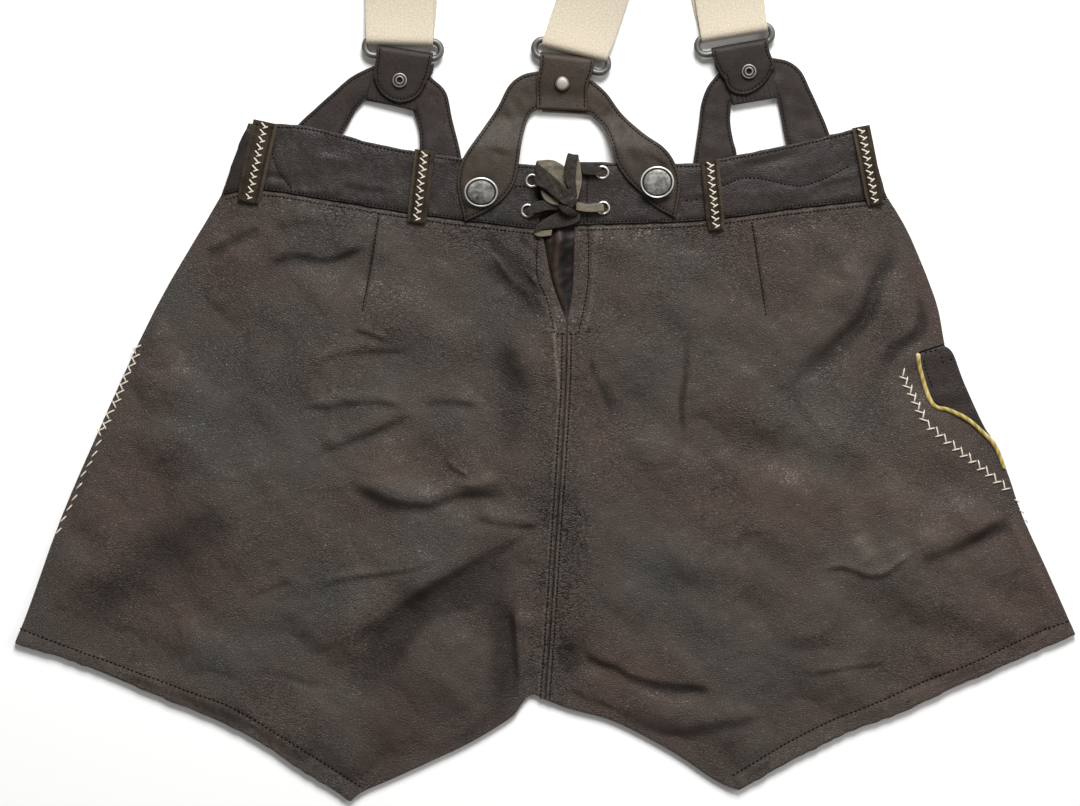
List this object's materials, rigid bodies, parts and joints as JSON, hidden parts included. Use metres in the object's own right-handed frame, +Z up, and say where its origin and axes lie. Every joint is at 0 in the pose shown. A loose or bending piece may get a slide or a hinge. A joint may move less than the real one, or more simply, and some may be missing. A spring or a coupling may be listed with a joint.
{
  "type": "lederhosen",
  "caption": "Short brown leather lederhosen lying flat, back side up, with a laced waistband, feather-stitched belt loops and button-on elastic suspenders.",
  "frame": {"origin": "on the surface the garment lies on, under the middle of its whole length and width", "axes": "+Z up from the surface towards the back of the garment, +Y from the legs towards the waist and the suspenders, +X to the right when looking down at the back"},
  "size_m": [0.5841, 0.7767, 0.0207],
  "materials": {
    "panel_leather": "soft sheen",
    "gusset_leather": "matte",
    "band_leather": "smooth",
    "strap_leather": "smooth, waxed",
    "loop_leather": "suede",
    "thong_leather": "matte",
    "webbing": "woven elastic",
    "piping": "gold cord",
    "silver": "antique silver",
    "gunmetal": "gunmetal",
    "horn": "polished horn"
  },
  "bodies": {
    "root": {"back_gusset": "gusset_leather", "back_left": "panel_leather", "back_right": "panel_leather", "belt_loop_1": "loop_leather", "belt_loop_2": "loop_leather", "belt_loop_3": "loop_leather", "belt_loop_4": "loop_leather", "button_back_left": "silver", "button_back_right": "silver", "button_front_far_left": "silver", "button_front_far_right": "silver", "button_front_left": "silver", "button_front_right": "silver", "eyelet_lower_left": "silver", "eyelet_lower_right": "silver", "eyelet_upper_left": "silver", "eyelet_upper_right": "silver", "flap_button_left": "horn", "flap_button_right": "horn", "front_flap": "panel_leather", "front_left": "panel_leather", "front_right": "panel_leather", "lace_end_lower": "thong_leather", "lace_end_upper": "thong_leather", "lace_knot": "thong_leather", "lace_loop_tall": "thong_leather", "lace_loop_wide": "thong_leather", "lace_strand_left": "thong_leather", "lace_strand_right": "thong_leather", "lace_strand_top": "thong_leather", "loop_tab_back": "strap_leather", "loop_tab_front_left": "strap_leather", "loop_tab_front_right": "strap_leather", "pocket_facing_right": "band_leather", "pocket_piping_right": "piping", "ring_back": "gunmetal", "ring_front_left": "gunmetal", "ring_front_right": "gunmetal", "rivet_back": "silver", "rivet_front_left": "silver", "rivet_front_right": "silver", "strap_back": "webbing", "strap_junction": "strap_leather", "strap_left": "webbing", "strap_right": "webbing", "waistband_back_left": "band_leather", "waistband_back_right": "band_leather", "waistband_front": "band_leather", "wishbone_back": "strap_leather", "wishbone_front_left": "strap_leather", "wishbone_front_right": "strap_leather"}
  },
  "joints": []
}
